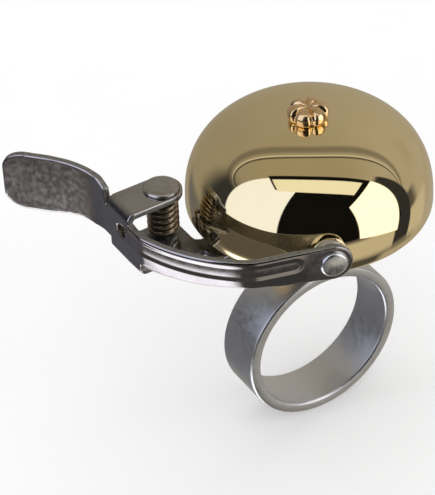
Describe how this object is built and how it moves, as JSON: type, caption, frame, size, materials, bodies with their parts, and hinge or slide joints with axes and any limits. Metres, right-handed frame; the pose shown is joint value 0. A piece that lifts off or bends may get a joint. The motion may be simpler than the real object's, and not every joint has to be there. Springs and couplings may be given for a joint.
{
  "type": "bicycle bell",
  "caption": "Polished brass dome bell on a headset spacer ring, struck by a hammer on a spring-loaded thumb lever.",
  "frame": {"origin": "centre of the spacer ring's bore, halfway along its width", "axes": "+Z from the ring up the bell's axis, Y along the bore with -Y on the hammer's side, thumb lever towards -X"},
  "size_m": [0.0719, 0.0536, 0.0693],
  "materials": {
    "ring_aluminium": "polished outside, satin faces",
    "bolt_steel": "zinc plated",
    "standoff_steel": "turned, satin",
    "bracket_steel": "dark bright plating",
    "washer_steel": "zinc plated",
    "fibre": "pressed fibre",
    "dome_brass": "mirror polished",
    "nut_brass": "polished, warmer than the dome",
    "pin_steel": "turned, bright",
    "spring_steel": "dark oiled wire",
    "lever_steel": "dark bright plating over stamped steel",
    "hammer_steel": "bright turned steel",
    "rivet_aluminium": "bright, slightly dented head"
  },
  "bodies": {
    "base": {"spacer_ring": "ring_aluminium", "centre_bolt": "bolt_steel", "ring_standoff": "standoff_steel", "base_bracket": "bracket_steel", "lock_washer": "washer_steel", "bracket_nut": "bolt_steel", "post_sleeve": "standoff_steel", "seat_washer": "fibre", "bell_dome": "dome_brass", "dome_nut": "nut_brass", "pivot_pin": "pin_steel", "pin_washer": "washer_steel", "retaining_clip": "spring_steel", "pivot_spacer": "pin_steel", "spring_sleeve": "pin_steel", "torsion_spring": "spring_steel"},
    "lever": {"striker_lever": "lever_steel", "hammer_washer": "washer_steel", "hammer_slug": "hammer_steel", "hammer_rivet": "rivet_aluminium"}
  },
  "joints": [
    {"name": "lever_swing", "type": "hinge", "parent": "base", "child": "lever", "pos_m": [-0.028, 0.0052, 0.037], "axis": [0, 0, -1], "range_deg": [-0.3, 30], "stiffness_Nm_per_rad": 0.02, "deforming": ["torsion_spring"]}
  ]
}
